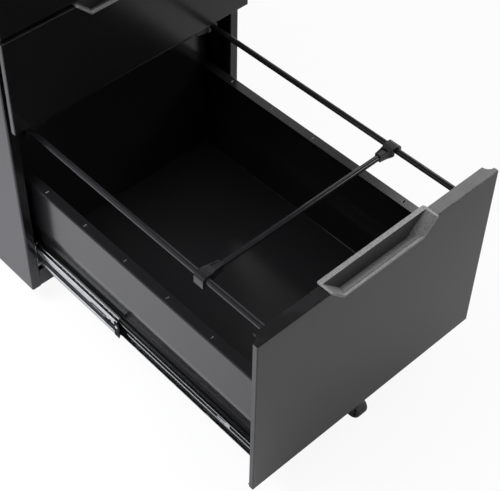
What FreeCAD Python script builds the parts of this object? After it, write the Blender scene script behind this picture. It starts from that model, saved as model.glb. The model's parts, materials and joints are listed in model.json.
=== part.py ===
import FreeCAD, Part
import math
import os

# Mobile filing cabinet: a sheet steel pedestal on casters with two box drawers over a file drawer.
# Millimetres, +Z up, the front towards -Y. The origin is on the floor under the middle of the case.
# The file drawer stands fully open on its telescopic slides, and the box drawers are shut.
# Every drawer is drawn in its own frame: y = 0 is its front's outer face, z = 0 its lower edge.

# Driving dimensions of the case
WIDTH = 390.0                # case, top and drawer fronts
CASE_DEPTH = 500.0           # front flange to back panel
HEIGHT = 650.0               # floor to top panel
CASE_BOTTOM = 33.0           # lower edge of the case above the floor
TOP_THICKNESS = 16.0         # folded edge of the top panel
SHEET = 1.0                  # steel sheet
BEND = 1.5                   # inside radius of a fold
FRONT_FLANGE = 15.5          # case side's face beside the drawer opening
FLANGE_RETURN = 12.0         # fold behind that face
REAR_FLANGE = 14.0
BASE_PLATE = 48.0            # underside of the base plate, on which the casters bolt
BASE_LIP = 63.0              # top of the rail across the bottom of the opening
BASE_NOTCH = (-12.0, 26.0, 46.5)     # left, right and top of the rail's gap for the anti-tip wheel
UPRIGHT_WIDTH = 40.0
UPRIGHT_FOOT = 10.0
UPRIGHT_PLACES = {"front": -205.0, "rear": 150.0}

# Driving dimensions of the drawers
FRONT_STANDOFF = 19.0        # front's face ahead of the case
FILE_FRONT = 276.0           # height of the file drawer's front
BOX_FRONT = 140.0            # height of each box drawer's front
FILE_BOTTOM = 60.0           # lower edge of the file drawer's front above the floor
FRONT_GAP = 6.0              # between fronts
TRAVEL = 430.0               # full extension
TOP_FOLD = 17.0              # fold along the top of a front
SIDE_FOLD = 7.0
BOTTOM_FOLD = 10.0
SCOOP = 10.0                 # quarter-round relief at the ends of the top fold
LINER_HALF = 171.0           # inner front panel
LINER_BACK = 18.0
LINER_FOOT = 8.0
TRAY_LENGTH = 468.0
TRAY_FOOT = 8.0
TRAY_HALF = 166.5            # outside of the tray beside the slides
FILE_TRAY_HALF = 171.0       # outside of the file tray above the slides
FILE_TRAY_STEP = (62.0, 92.0)    # heights between which the file tray widens in a soft curve
STEP_FACETS = 4              # flats along that curve
FILE_TRAY_TOP = 166.0
BOX_TRAY_TOP = 84.0
FILE_TRAY_FLANGE = 15.0
BOX_TRAY_FLANGE = 10.0
FILE_BACK_TOP = 262.0
BACK_FLANGE = 12.0
SLIT_PITCH = 80.0            # divider slits along the file tray's flanges
SLIT_FIRST = 105.0
SLIT_COUNT = 5
SLIT_SIZE = (5.0, 2.4)

# Driving dimensions of the moulded pull
PULL_HALF = 87.0             # half the rim's width along the top edge
PULL_RIM = 1.2               # rim above the top fold
PULL_OVERLAP = 2.0           # rim over the sheet's cut edge
PULL_BACK = 19.0
PULL_RIM_BACK = 22.0        # rim's rear edge
PULL_DEPTH = 30.0
PULL_WALL = 2.5
PULL_LIP = 18.3              # lip's crest below the top edge
PULL_BEZEL = 21.5            # bezel's lower edge below the top edge
PULL_PROUD = 2.0             # bezel ahead of the front's face
PULL_FLOOR = 27.4            # deepest point of the finger trough
PULL_GROOVE = (0.7, 2.4, 1.1)    # front edge, rear edge and depth of the line behind the lip

# Driving dimensions of the hanging frame
RAIL_HALF = 156.4            # rails from the middle of the drawer
RAIL_HEIGHT = 248.0
RAIL_RADIUS = 4.0
CROSS_BAR_PLACES = {"front": 128.5, "rear": 466.0}
CLIP_WIDTH = 15.6
CLIP_TIP = 8.8               # arm's width where the bar enters
CLIP_ARM = 27.0              # rail's axis to the arm's tip
CLIP_WALL = 3.2
CLIP_PLAY = 0.3
CLIP_SKIRT = 9.0             # outer leg below the rail's axis
CLIP_JAW = 6.0               # jaw round the bar below its axis

# Driving dimensions of the telescopic slides
SLIDE_HEIGHT = 33.0          # slide's middle above the front's lower edge
SLIDE_SHEET = 1.2
SLIDE_EASE = 2.0             # corners of the rolled case member
MID_EASE = 1.3
OUTER_HALF = 22.75           # half heights of the three members
MID_HALF = 17.5
INNER_HALF = 12.5
OUTER_REACH = 10.0           # how far each member's flanges stand from the case
MID_REACH = (2.4, 10.6)
INNER_REACH = 5.2
OUTER_LIP = 18.6
MID_LIP = 15.6
SLIDE_LENGTH = 450.0
OUTER_START = 3.0            # behind the case's front
MID_LENGTH = 410.0
MID_SETBACK = 43.0           # mid member's front end behind the case's front, shut
INNER_START = 20.0           # behind the front's face
MID_SLOT = (30.0, 31.0, 8.0)     # start, length and height of the punched slot
CAGE_LENGTH = 140.0
CAGE_WIDTH = 2.8
CAGE_HEIGHTS = (3.2, 3.2)    # ball cages between outer and mid, mid and inner
CAGE_ENDS = (5.0, 20.0)      # clear of the mid member's front and rear end

# Driving dimensions of the casters
CASTER_PLACES = {"front": -205.0, "rear": 205.0}
CASTER_HALF = 150.0
CASTER_TRAIL = 14.0
WHEEL_RADIUS = 19.0
WHEEL_WIDTH = 18.0
WHEEL_PLAY = 0.4
FORK_SHEET = 2.0
FORK_TOP = 45.0
FORK_EAR = 7.0
FORK_CROWN = (-10.0, 11.0)   # fork's top plate before and behind its stem
AXLE_RADIUS = 3.0
RUNNING_PLAY = 0.05
PLATE_SIZE = 42.0
PLATE_SHEET = 2.5
PLATE_EASE = 5.0
STEM_RADIUS = 4.0

# Driving dimensions of the anti-tip wheel, in the file drawer's frame
TIP_WHEEL_RADIUS = 16.0
TIP_WHEEL_EASE = 3.0
TIP_WHEEL_SPAN = (-1.0, 17.0)
TIP_AXLE = (23.0, -42.0)     # depth and height of its axle
TIP_BRACKET = (-4.0, -1.5)
TIP_FOOT_HALF = 22.0
TIP_EAR = 9.0

# Places that follow from them
HALF = WIDTH / 2
CASE_FRONT = -CASE_DEPTH / 2
CASE_BACK = CASE_DEPTH / 2
OPENING_HALF = HALF - FRONT_FLANGE
SIDE_TOP = HEIGHT - TOP_THICKNESS
SHUT_FACE = CASE_FRONT - FRONT_STANDOFF
TRAY_END = LINER_BACK + TRAY_LENGTH
MIDDLE_BOTTOM = FILE_BOTTOM + FILE_FRONT + FRONT_GAP
TOP_BOTTOM = MIDDLE_BOTTOM + BOX_FRONT + FRONT_GAP

V = FreeCAD.Vector
X_AXIS = V(1, 0, 0)
Y_AXIS = V(0, 1, 0)


# Helpers

def box(x0, x1, y0, y1, z0, z1):
    """Box between its lowest and highest coordinates."""
    return Part.makeBox(x1 - x0, y1 - y0, z1 - z0, V(x0, y0, z0))


def plan(u, v):
    return V(u, v, 0)


def across(u, v):
    return V(u, 0, v)


def sideways(u, v):
    return V(0, u, v)


def outline(corners, plane):
    """Closed face through (u, v, radius) corners, each rounded by a tangent arc."""
    edges = []
    starts = []
    ends = []
    count = len(corners)
    for i, (u, v, radius) in enumerate(corners):
        here = V(u, v, 0)
        back = (V(*corners[i - 1][:2], 0) - here).normalize()
        ahead = (V(*corners[(i + 1) % count][:2], 0) - here).normalize()
        if radius > 0:
            half = back.getAngle(ahead) / 2
            reach = radius / math.tan(half)
            bisector = (back + ahead).normalize()
            middle = here + bisector * (radius / math.sin(half) - radius)
            starts.append(here + back * reach)
            ends.append(here + ahead * reach)
            arc = [plane(p.x, p.y) for p in (starts[-1], middle, ends[-1])]
            edges.append(Part.Arc(*arc).toShape())
        else:
            starts.append(here)
            ends.append(here)
    for i in range(count):
        a = ends[i]
        b = starts[(i + 1) % count]
        if (b - a).Length > 1e-6:
            edges.append(Part.LineSegment(plane(a.x, a.y), plane(b.x, b.y)).toShape())
    return Part.Face(Part.Wire(Part.__sortEdges__(edges)))


def folded(path, plane, thickness=SHEET, bend=BEND):
    """Section of a folded sheet: the path is one skin, and the other lies to its left.

    With no bend its corners stay plain.
    """
    points = [V(u, v, 0) for u, v in path]
    runs = [(b - a).normalize() for a, b in zip(points, points[1:])]
    lefts = [V(-d.y, d.x, 0) for d in runs]
    skin = [(points[0].x, points[0].y, 0)]
    inner = points[0] + lefts[0] * thickness
    other = [(inner.x, inner.y, 0)]
    for i in range(1, len(points) - 1):
        before, after = lefts[i - 1], lefts[i]
        turns_left = runs[i - 1].cross(runs[i]).z > 0
        inner = points[i] + (before + after) * (thickness / (1 + before.dot(after)))
        outside = bend + thickness if bend else 0
        skin.append((points[i].x, points[i].y, outside if turns_left else bend))
        other.append((inner.x, inner.y, bend if turns_left else outside))
    last = points[-1] + lefts[-1] * thickness
    skin.append((points[-1].x, points[-1].y, 0))
    other.append((last.x, last.y, 0))
    return outline(skin + other[::-1], plane)


def eased(path, cut):
    """The path with each of its corners cut off, as a rolled section has them."""
    points = [V(u, v, 0) for u, v in path]
    result = [path[0]]
    for a, b, c in zip(points, points[1:], points[2:]):
        for side in (a, c):
            place = b + (side - b).normalize() * cut
            result.append((place.x, place.y))
    result.append(path[-1])
    return result


def soft_step(start, end, count):
    """Points of an S-curve that leaves and meets two upright runs without a crease."""
    points = []
    for i in range(count + 1):
        t = i / count
        across_part = t * t * (3 - 2 * t)
        points.append((start[0] + (end[0] - start[0]) * across_part, start[1] + (end[1] - start[1]) * t))
    return points


def polygon(points, plane):
    """Closed face with plain corners."""
    return outline([(u, v, 0) for u, v in points], plane)


def mirrored(shape):
    """The same piece on the other side of the cabinet."""
    return shape.mirror(V(0, 0, 0), X_AXIS)


def edges_on(shape, axis, value):
    """Edges of a shape that lie in the plane axis = value."""
    def lies(edge):
        return all(abs(getattr(v.Point, axis) - value) < 1e-6 for v in edge.Vertexes)
    return [edge for edge in shape.Edges if lies(edge)]


def pan(x0, x1, y0, y1, z0, z1, side, rounded=True):
    """Box of folded sheet, its edges rounded round the closed side, with no opposite side."""
    skin = box(x0, x1, y0, y1, z0, z1)
    inset = {"-y": (SHEET, SHEET, SHEET, 0, SHEET, SHEET),
             "+y": (SHEET, SHEET, 0, SHEET, SHEET, SHEET),
             "+z": (SHEET, SHEET, SHEET, SHEET, 0, SHEET)}[side]
    a, b, c, d, e, f = inset
    hollow = box(x0 + a, x1 - b, y0 + c, y1 - d, z0 + e, z1 - f)
    plane = {"-y": ("y", y0), "+y": ("y", y1), "+z": ("z", z1)}[side]
    if rounded:
        skin = skin.makeFillet(BEND, edges_on(skin, *plane))
    return skin.cut(hollow)


def rod(radius, start, end):
    """Round bar between two points."""
    way = end - start
    return Part.makeCylinder(radius, way.Length, start, way)


# Case

def case_side():
    """Left side: one sheet folded to the front flange, its return and the rear flange."""
    path = [(-HALF + REAR_FLANGE, CASE_BACK - SHEET),
            (-HALF, CASE_BACK - SHEET),
            (-HALF, CASE_FRONT),
            (-OPENING_HALF, CASE_FRONT),
            (-OPENING_HALF, CASE_FRONT + FLANGE_RETURN)]
    section = folded(path, plan)
    section.translate(V(0, 0, CASE_BOTTOM))
    return section.extrude(V(0, 0, SIDE_TOP - CASE_BOTTOM))


def case_top():
    """Top panel, folded down all round, over the fronts."""
    return pan(-HALF, HALF, SHUT_FACE, CASE_BACK, SIDE_TOP, HEIGHT, "+z")


def case_back():
    """Back panel, folded in all round between the sides."""
    fold = CASE_BACK - REAR_FLANGE
    panel = pan(-HALF + SHEET, HALF - SHEET, fold, CASE_BACK, BASE_PLATE + SHEET, SIDE_TOP, "+y", False)
    side_flange = REAR_FLANGE + SHEET
    keep = [box(-HALF + side_flange, HALF - side_flange, fold - SHEET, CASE_BACK, 0, HEIGHT),
            box(-HALF, HALF, CASE_BACK - SHEET, CASE_BACK, 0, HEIGHT)]
    return panel.common(keep[0].fuse(keep[1]))


def case_base():
    """Base plate, folded down at the sides and back, with the rail under the opening."""
    inside = HALF - SHEET
    front_edge = CASE_FRONT + SHEET
    back_edge = CASE_BACK - 2 * SHEET
    plate = pan(-inside, inside, front_edge, back_edge, CASE_BOTTOM, BASE_PLATE + SHEET, "+z", False)
    rail = box(-OPENING_HALF, OPENING_HALF, front_edge, front_edge + SHEET, CASE_BOTTOM, BASE_LIP)
    left, right, top = BASE_NOTCH
    waste = [box(left, right, front_edge, front_edge + SHEET, CASE_BOTTOM, top)]
    reliefs = [box(OPENING_HALF, inside, front_edge, CASE_FRONT + FLANGE_RETURN, CASE_BOTTOM, BASE_LIP),
               box(inside - BEND, inside, back_edge - BEND, back_edge, CASE_BOTTOM, BASE_LIP)]
    for corner in reliefs:
        waste.extend([corner, mirrored(corner)])
    return plate.fuse(rail).cut(waste).removeSplitter()


def uprights():
    """Two hat channels inside the left side, which carry the slides."""
    foot = -HALF + 2 * SHEET
    face = -OPENING_HALF
    channels = []
    for place in UPRIGHT_PLACES.values():
        low = place - UPRIGHT_WIDTH / 2
        high = place + UPRIGHT_WIDTH / 2
        path = [(foot, low - UPRIGHT_FOOT), (foot, low), (face, low),
                (face, high), (foot, high), (foot, high + UPRIGHT_FOOT)]
        section = folded(path, plan, SHEET, 0)
        section.translate(V(0, 0, BASE_PLATE + SHEET))
        channels.append(section.extrude(V(0, 0, SIDE_TOP - BASE_PLATE - 2 * SHEET)))
    return Part.makeCompound(channels)


# Telescopic slides

def slide_frame(s, z):
    """Places a slide's section: s is the distance from the case side's opening, inwards."""
    return V(-OPENING_HALF + s, 0, z)


def slide_member(path, start, length):
    """Left-hand rolled member at the slide's height in the drawer's frame."""
    section = folded(path, slide_frame, SLIDE_SHEET, 0)
    section.translate(V(0, start, SLIDE_HEIGHT))
    return section.extrude(V(0, length, 0))


def slide_outer():
    """Case member: a deep channel with its lips turned in behind the balls."""
    path = [(OUTER_REACH, OUTER_LIP), (OUTER_REACH, OUTER_HALF), (0, OUTER_HALF),
            (0, -OUTER_HALF), (OUTER_REACH, -OUTER_HALF), (OUTER_REACH, -OUTER_LIP)]
    return slide_member(eased(path, SLIDE_EASE), FRONT_STANDOFF + OUTER_START, SLIDE_LENGTH)


def slide_mid():
    """Middle member, with the slot punched near its front end."""
    near, far = MID_REACH
    path = [(far, MID_LIP), (far, MID_HALF), (near, MID_HALF),
            (near, -MID_HALF), (far, -MID_HALF), (far, -MID_LIP)]
    start = FRONT_STANDOFF + MID_SETBACK
    member = slide_member(eased(path, MID_EASE), start, MID_LENGTH)
    offset, length, height = MID_SLOT
    low = start + offset
    high = low + length
    half = height / 2
    ends = [(low, -half / 2), (low + half / 2, -half), (high - half / 2, -half), (high, -half / 2),
            (high, half / 2), (high - half / 2, half), (low + half / 2, half), (low, half / 2)]
    slot = polygon(ends, sideways)
    slot.translate(V(-OPENING_HALF, 0, SLIDE_HEIGHT))
    return member.cut(slot.extrude(V(near + 2 * SLIDE_SHEET, 0, 0)))


def slide_inner():
    """Drawer member: a narrow channel against the tray, open towards the middle member."""
    web = OPENING_HALF - TRAY_HALF
    path = [(INNER_REACH, -INNER_HALF), (web, -INNER_HALF), (web, INNER_HALF), (INNER_REACH, INNER_HALF)]
    return slide_member(eased(path, SLIDE_EASE), INNER_START, SLIDE_LENGTH)


def slide_cages():
    """Ball cages, each a strip seated along the middle member's race."""
    start = FRONT_STANDOFF + MID_SETBACK
    middle = -OPENING_HALF + sum(MID_REACH) / 2
    outer, inner = CAGE_HEIGHTS
    front_end, rear_end = CAGE_ENDS
    rear = start + MID_LENGTH - rear_end - CAGE_LENGTH
    rows = [(MID_HALF, outer, rear), (MID_HALF - SLIDE_SHEET - inner, inner, start + front_end)]
    strips = []
    for base, height, first in rows:
        for low in (SLIDE_HEIGHT + base, SLIDE_HEIGHT - base - height):
            strips.append(box(middle - CAGE_WIDTH / 2, middle + CAGE_WIDTH / 2,
                              first, first + CAGE_LENGTH, low, low + height))
    return Part.makeCompound(strips)


# Drawer fronts

def sloped_prism(half, top, bottom, y0, y1):
    """Prism across the drawer whose ends slope in by 45 degrees below its width at z = 0."""
    corners = [(-half - top, top), (half + top, top), (half + bottom, bottom), (-half - bottom, bottom)]
    face = polygon(corners, across)
    face.translate(V(0, y0, 0))
    return face.extrude(V(0, y1 - y0, 0))


def pull_opening(height):
    """Gap in a front's face and top fold, which the pull fills."""
    half = PULL_HALF - PULL_OVERLAP
    notch = sloped_prism(half, SHEET, PULL_OVERLAP - PULL_BEZEL, -SHEET, 2 * SHEET)
    fold = box(-half, half, SHEET, TOP_FOLD + SHEET, -2 * SHEET - BEND, SHEET)
    return notch.fuse(fold).translated(V(0, 0, height))


def front(height):
    """Front: face folded back along every edge, with scooped corners on the top fold."""
    face = pan(-HALF, HALF, 0, TOP_FOLD, 0, height, "-y")
    waste = [box(-HALF, HALF, BOTTOM_FOLD, TOP_FOLD, 0, BEND), pull_opening(height)]
    for sign in (-1, 1):
        inner = sign * (HALF - BEND)
        outer = sign * HALF
        waste.append(box(min(inner, outer), max(inner, outer), SIDE_FOLD, TOP_FOLD, 0, height - SHEET))
        waste.append(Part.makeCylinder(SCOOP, 3 * SHEET, V(outer, TOP_FOLD, height - 2 * SHEET)))
    return face.cut(waste)


def liner(height):
    """Inner front panel behind the face, cut away round the pull."""
    panel = pan(-LINER_HALF, LINER_HALF, SHEET, LINER_BACK, LINER_FOOT, height - 4 * SHEET, "+y", False)
    half = PULL_HALF + PULL_OVERLAP
    return panel.cut(box(-half, half, 0, LINER_BACK + SHEET, height - PULL_DEPTH - 2 * SHEET, height))


def pull(height):
    """Moulded pull: a trough with sloped ends behind a lip, and a rim over the sheet's edge."""
    half = PULL_HALF - PULL_OVERLAP
    cup = sloped_prism(half, -SHEET, -PULL_DEPTH, SHEET, PULL_BACK)
    neck = box(-half, half, SHEET, PULL_BACK, -SHEET, PULL_RIM)
    filler = sloped_prism(half, 0, PULL_OVERLAP - PULL_BEZEL, 0, SHEET)
    bezel = sloped_prism(PULL_HALF, 0, -PULL_BEZEL, -PULL_PROUD, 0)
    bezel = bezel.makeFillet(PULL_PROUD / 2, edges_on(bezel, "y", -PULL_PROUD))
    rim = box(-PULL_HALF, PULL_HALF, -PULL_PROUD / 2, PULL_RIM_BACK, 0, PULL_RIM)
    solid = cup.fuse([neck, filler, bezel, rim])
    wall = PULL_BACK - PULL_WALL - SHEET
    above = 3 * PULL_RIM
    groove_front, groove_back, groove_depth = PULL_GROOVE
    groove_foot = -PULL_LIP - groove_depth
    floor = [(wall, above), (wall, -PULL_FLOOR), (groove_back, -PULL_LIP), (groove_back, groove_foot),
             (groove_front, groove_foot), (groove_front, -PULL_LIP),
             (-2 * PULL_PROUD, -PULL_LIP), (-2 * PULL_PROUD, above)]
    trough = polygon(floor, sideways)
    trough.translate(V(-HALF, 0, 0))
    ends = sloped_prism(half - PULL_WALL, above, -PULL_DEPTH, -2 * PULL_PROUD, PULL_BACK)
    trough = trough.extrude(V(WIDTH, 0, 0)).common(ends)
    return solid.cut(trough).removeSplitter().translated(V(0, 0, height))


# Drawer bodies

def file_tray():
    """Body of the file drawer: one sheet, curved out above the slides and flanged at the top."""
    low, high = FILE_TRAY_STEP
    right = [(TRAY_HALF, TRAY_FOOT)]
    right += soft_step((TRAY_HALF, low), (FILE_TRAY_HALF, high), STEP_FACETS)
    right += [(FILE_TRAY_HALF, FILE_TRAY_TOP), (FILE_TRAY_HALF - FILE_TRAY_FLANGE, FILE_TRAY_TOP)]
    path = [(-u, v) for u, v in right[::-1]] + right
    section = folded(eased(path, BEND), across, SHEET, 0)
    section.translate(V(0, LINER_BACK, 0))
    tray = section.extrude(V(0, TRAY_LENGTH, 0))
    long, wide = SLIT_SIZE
    middle = FILE_TRAY_HALF - FILE_TRAY_FLANGE / 2
    slits = []
    for i in range(SLIT_COUNT):
        y = SLIT_FIRST + i * SLIT_PITCH
        for sign in (-1, 1):
            x = sign * middle
            slits.append(box(x - long / 2, x + long / 2, y - wide / 2, y + wide / 2,
                             FILE_TRAY_TOP - 2 * SHEET, FILE_TRAY_TOP + SHEET))
    return tray.cut(slits)


def box_tray():
    """Body of a box drawer: one sheet folded up at the sides and in along the top."""
    right = [(TRAY_HALF, TRAY_FOOT), (TRAY_HALF, BOX_TRAY_TOP), (TRAY_HALF - BOX_TRAY_FLANGE, BOX_TRAY_TOP)]
    path = [(-u, v) for u, v in right[::-1]] + right
    section = folded(path, across, SHEET, 0)
    section.translate(V(0, LINER_BACK, 0))
    return section.extrude(V(0, TRAY_LENGTH, 0))


def tray_back(top):
    """Back of a drawer, folded to the rear along its top."""
    path = [(TRAY_END + BACK_FLANGE, top), (TRAY_END, top), (TRAY_END, TRAY_FOOT)]
    section = folded(path, sideways, SHEET, 0)
    section.translate(V(-TRAY_HALF, 0, 0))
    return section.extrude(V(2 * TRAY_HALF, 0, 0))


# Hanging frame

def rail():
    """Left hanging rail, from the inner front panel to the drawer's back."""
    start = V(-RAIL_HALF, LINER_BACK, RAIL_HEIGHT)
    return rod(RAIL_RADIUS, start, V(-RAIL_HALF, TRAY_END, RAIL_HEIGHT))


def cross_bar():
    """Cross bar between the two clips, drawn at y = 0 of its own frame."""
    reach = RAIL_HALF - CLIP_ARM / 2
    return rod(RAIL_RADIUS, V(-reach, 0, RAIL_HEIGHT), V(reach, 0, RAIL_HEIGHT))


def clip():
    """Left clip: a saddle over the rail and a flared arm whose jaw holds the cross bar's end."""
    bore = RAIL_RADIUS + CLIP_PLAY
    skin = bore + CLIP_WALL
    ease = skin / 2
    seat = bore * math.tan(math.pi / 8)
    saddle = polygon([(-skin, -CLIP_SKIRT), (-bore, -CLIP_SKIRT), (-bore, seat), (-seat, bore),
                      (seat, bore), (bore, seat), (bore, -CLIP_JAW), (skin, -CLIP_JAW),
                      (skin, skin), (ease - skin, skin), (-skin, skin - ease)], across)
    saddle.translate(V(0, -CLIP_WIDTH / 2, 0))
    saddle = saddle.extrude(V(0, CLIP_WIDTH, 0))
    flare = CLIP_WIDTH / 2
    tip = CLIP_TIP / 2
    arm = polygon([(0, -flare), (skin, -flare), (2 * skin, -CLIP_JAW), (CLIP_ARM, -tip),
                   (CLIP_ARM, tip), (2 * skin, CLIP_JAW), (skin, flare), (0, flare)], plan)
    arm.translate(V(0, 0, bore))
    arm = arm.extrude(V(0, 0, CLIP_WALL))
    jaw = box(skin, CLIP_ARM - 1, -CLIP_JAW, CLIP_JAW, -CLIP_JAW, bore)
    socket = box(CLIP_ARM / 2, CLIP_ARM, -RAIL_RADIUS, RAIL_RADIUS, -RAIL_RADIUS, RAIL_RADIUS)
    solid = saddle.fuse([arm, jaw]).cut(socket).removeSplitter()
    return solid.translated(V(-RAIL_HALF, 0, RAIL_HEIGHT))


# Anti-tip wheel

def tip_bracket():
    """Bracket under the inner front panel, whose ear carries the anti-tip wheel."""
    depth, height = TIP_AXLE
    top = LINER_FOOT - 2 * SHEET
    front_edge = BOTTOM_FOLD + SHEET
    back_edge = LINER_BACK - SHEET / 2
    knee = height / 2
    ease = TIP_EAR / 2
    arm = polygon([(front_edge, top), (front_edge, knee),
                   (depth - TIP_EAR, height - ease), (depth - ease, height - TIP_EAR),
                   (depth + ease, height - TIP_EAR), (depth + TIP_EAR, height - ease),
                   (depth + TIP_EAR, height + ease), (back_edge, knee + ease), (back_edge, top)], sideways)
    inner, outer = TIP_BRACKET
    arm.translate(V(inner, 0, 0))
    arm = arm.extrude(V(outer - inner, 0, 0))
    foot = box(-TIP_FOOT_HALF, TIP_FOOT_HALF, front_edge, back_edge, top, LINER_FOOT)
    hole = rod(AXLE_RADIUS, V(2 * inner, depth, height), V(0, depth, height))
    return arm.fuse(foot).cut(hole).removeSplitter()


def tip_axle():
    """Stub axle through the bracket and the wheel."""
    depth, height = TIP_AXLE
    inner = TIP_BRACKET[0]
    outer = TIP_WHEEL_SPAN[1]
    return rod(AXLE_RADIUS, V(inner, depth, height), V(outer + SHEET, depth, height))


def tip_wheel():
    """Anti-tip wheel beside the bracket."""
    depth, height = TIP_AXLE
    low, high = TIP_WHEEL_SPAN
    return wheel(high - low, TIP_WHEEL_RADIUS, TIP_WHEEL_EASE).translated(V(low, depth, height))


# Casters

def wheel(width, radius, ease):
    """Wheel on the X axis from x = 0, with its tread's edges cut back."""
    bore = AXLE_RADIUS + RUNNING_PLAY
    tread = [(0, bore), (0, radius), (width, radius), (width, bore)]
    section = polygon(eased(tread, ease) if ease else tread, plan)
    return section.revolve(V(0, 0, 0), X_AXIS, 360)


def caster_plate():
    """Top plate of a caster with its swivel bore."""
    half = PLATE_SIZE / 2
    under = BASE_PLATE - PLATE_SHEET
    flat = half - PLATE_EASE
    face = polygon([(flat, -half), (half, -flat), (half, flat), (flat, half),
                    (-flat, half), (-half, flat), (-half, -flat), (-flat, -half)], plan)
    face.translate(V(0, 0, under))
    plate = face.extrude(V(0, 0, PLATE_SHEET))
    bore = Part.makeCylinder(STEM_RADIUS + RUNNING_PLAY, HEIGHT, V(0, 0, 0))
    return plate.cut(bore)


def caster_fork():
    """Swivel fork: a folded strap trimmed to its side outline, with the stem and the axle."""
    inside = WHEEL_WIDTH / 2 + WHEEL_PLAY
    outside = inside + FORK_SHEET
    foot = WHEEL_RADIUS - FORK_EAR
    section = folded([(-outside, foot), (-outside, FORK_TOP), (outside, FORK_TOP), (outside, foot)][::-1],
                     across, FORK_SHEET, 0)
    section.translate(V(0, -PLATE_SIZE, 0))
    strap = section.extrude(V(0, 2 * PLATE_SIZE, 0))
    front_end, rear_end = FORK_CROWN
    ease = FORK_EAR / 2
    cheek = polygon([(front_end, FORK_TOP), (front_end, FORK_TOP - 3 * FORK_SHEET),
                     (CASTER_TRAIL - FORK_EAR, foot + ease), (CASTER_TRAIL - ease, foot),
                     (CASTER_TRAIL + ease, foot), (CASTER_TRAIL + FORK_EAR, foot + ease),
                     (rear_end + ease, FORK_TOP - 3 * FORK_SHEET), (rear_end, FORK_TOP)], sideways)
    cheek.translate(V(-outside, 0, 0))
    strap = strap.common(cheek.extrude(V(2 * outside, 0, 0)))
    stem = rod(STEM_RADIUS, V(0, 0, FORK_TOP), V(0, 0, BASE_PLATE - SHEET))
    axle = rod(AXLE_RADIUS, V(-outside, CASTER_TRAIL, WHEEL_RADIUS), V(outside, CASTER_TRAIL, WHEEL_RADIUS))
    return strap.fuse([stem, axle]).removeSplitter()


def caster_wheel():
    """Wheel of one caster between the cheeks of its fork."""
    return wheel(WHEEL_WIDTH, WHEEL_RADIUS, 0).translated(V(-WHEEL_WIDTH / 2, CASTER_TRAIL, WHEEL_RADIUS))


# Assembly

def pair(shape):
    """A left-hand piece and its right-hand twin as one group of separate solids."""
    solids = list(shape.Solids) + list(mirrored(shape).Solids)
    return Part.makeCompound(solids)


def case_parts():
    plates = []
    for y in CASTER_PLACES.values():
        for sign in (-1, 1):
            plates.append(caster_plate().translated(V(sign * CASTER_HALF, y, 0)))
    left = case_side()
    return {"case_side_left": left,
            "case_side_right": mirrored(left),
            "case_top": case_top(),
            "case_back": case_back(),
            "case_base": case_base(),
            "uprights_left": uprights(),
            "uprights_right": mirrored(uprights()),
            "caster_plates": Part.makeCompound(plates)}


def drawer_parts(name, height, bottom, opened):
    """Front, pull, inner panel and slides of one drawer, with its members at the drawer's place."""
    shut = V(0, SHUT_FACE, bottom)
    drawn = shut - Y_AXIS * opened
    half_drawn = shut - Y_AXIS * (opened / 2)
    parts = {f"{name}_front": front(height).translated(drawn),
             f"{name}_pull": pull(height).translated(drawn),
             f"{name}_liner": liner(height).translated(drawn),
             f"{name}_slide_outer": pair(slide_outer()).translated(shut),
             f"{name}_slide_mid": pair(slide_mid()).translated(half_drawn),
             f"{name}_slide_cages": pair(slide_cages()).translated(half_drawn),
             f"{name}_slide_inner": pair(slide_inner()).translated(drawn)}
    if name == "file":
        parts["file_tray"] = file_tray().translated(drawn)
        parts["file_tray_back"] = tray_back(FILE_BACK_TOP).translated(drawn)
    else:
        parts[f"{name}_tray"] = box_tray().translated(drawn)
        parts[f"{name}_tray_back"] = tray_back(BOX_TRAY_TOP).translated(drawn)
    return parts


def hanging_parts(drawn):
    parts = {"rail_left": rail().translated(drawn),
             "rail_right": mirrored(rail()).translated(drawn)}
    for where, depth in CROSS_BAR_PLACES.items():
        place = drawn + Y_AXIS * depth
        parts[f"cross_bar_{where}"] = cross_bar().translated(place)
        parts[f"clip_{where}_left"] = clip().translated(place)
        parts[f"clip_{where}_right"] = mirrored(clip()).translated(place)
    return parts


def caster_parts():
    parts = {}
    for where, y in CASTER_PLACES.items():
        for side, sign in (("left", -1), ("right", 1)):
            place = V(sign * CASTER_HALF, y, 0)
            parts[f"caster_fork_{where}_{side}"] = caster_fork().translated(place)
            parts[f"caster_wheel_{where}_{side}"] = caster_wheel().translated(place)
    return parts


def build():
    """Every piece of the cabinet by name, each at its place."""
    drawn = V(0, SHUT_FACE - TRAVEL, FILE_BOTTOM)
    parts = case_parts()
    parts.update(drawer_parts("file", FILE_FRONT, FILE_BOTTOM, TRAVEL))
    parts.update(drawer_parts("middle", BOX_FRONT, MIDDLE_BOTTOM, 0))
    parts.update(drawer_parts("top", BOX_FRONT, TOP_BOTTOM, 0))
    parts.update(hanging_parts(drawn))
    parts.update(caster_parts())
    parts["anti_tip_bracket"] = tip_bracket().translated(drawn)
    parts["anti_tip_axle"] = tip_axle().translated(drawn)
    parts["anti_tip_wheel"] = tip_wheel().translated(drawn)
    return parts


os.makedirs("parts", exist_ok=True)
for node, shape in build().items():
    if not shape.isValid():
        raise ValueError(f"{node} is not a valid solid")
    shape.exportStep(f"parts/{node}.step")
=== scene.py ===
import json
import math

import bmesh
import bpy
from bpy.props import FloatProperty, FloatVectorProperty, PointerProperty
from bpy.types import Operator, Panel, PropertyGroup
from mathutils import Matrix, Vector


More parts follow.
